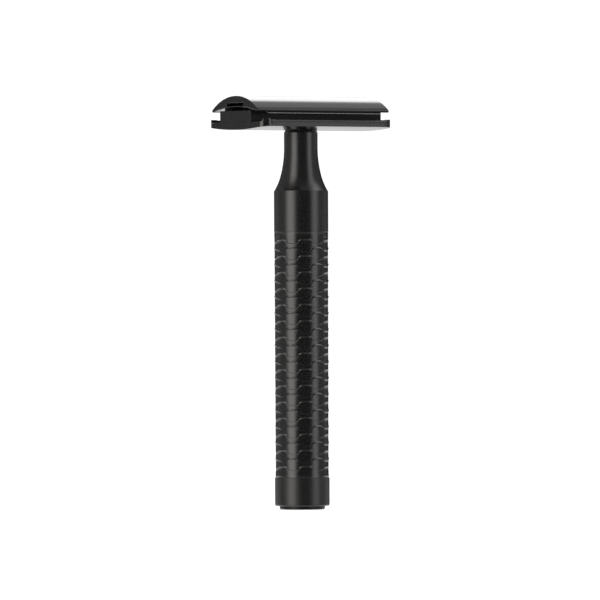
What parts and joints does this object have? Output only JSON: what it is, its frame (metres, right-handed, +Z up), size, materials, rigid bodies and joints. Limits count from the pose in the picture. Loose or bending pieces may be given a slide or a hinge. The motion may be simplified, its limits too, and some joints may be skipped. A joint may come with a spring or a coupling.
{
  "type": "safety razor",
  "caption": "Black double-edge safety razor with a closed safety bar, domed cap, textured grip and a handle that unscrews to free the blade.",
  "frame": {"origin": "centre of the foot's flat underside, on the handle's axis", "axes": "+Z up the handle towards the cap, X along the head, Y across the head from one cutting edge to the other"},
  "size_m": [0.0436, 0.025, 0.1102],
  "materials": {
    "black_steel": "satin",
    "black_steel_gloss": "polished",
    "blade_steel": "polished",
    "bare_steel": "satin",
    "seal_rubber": "matte"
  },
  "bodies": {
    "handle": {"foot_disc": "black_steel", "end_knob": "black_steel", "lower_seal_ring": "seal_rubber", "tie_rod": "bare_steel", "grip_sleeve": "black_steel", "upper_seal_ring": "seal_rubber", "handle_neck": "black_steel"},
    "plate": {"base_plate": "black_steel_gloss"},
    "blade": {"razor_blade": "blade_steel"},
    "cap": {"top_cap": "black_steel_gloss", "clamp_stud": "bare_steel", "locating_pin_left": "bare_steel", "locating_pin_right": "bare_steel"}
  },
  "joints": [
    {"name": "handle_unscrew", "type": "hinge", "parent": "handle", "child": "plate", "pos_m": [0, 0, 0.10135], "axis": [0, 0, 1], "range_deg": [0, 3600]},
    {"name": "cap_rise", "type": "slide", "parent": "plate", "child": "cap", "axis": [0, 0, 1], "range_m": [0, 0.00801]},
    {"name": "blade_lift", "type": "slide", "parent": "plate", "child": "blade", "axis": [0, 0, 1], "range_m": [0, 0.00401]}
  ],
  "couplings": [
    {"joint": "cap_rise", "follows": "handle_unscrew", "m_per_rad": 0.00012732},
    {"joint": "blade_lift", "follows": "handle_unscrew", "m_per_rad": 0.000063662}
  ]
}
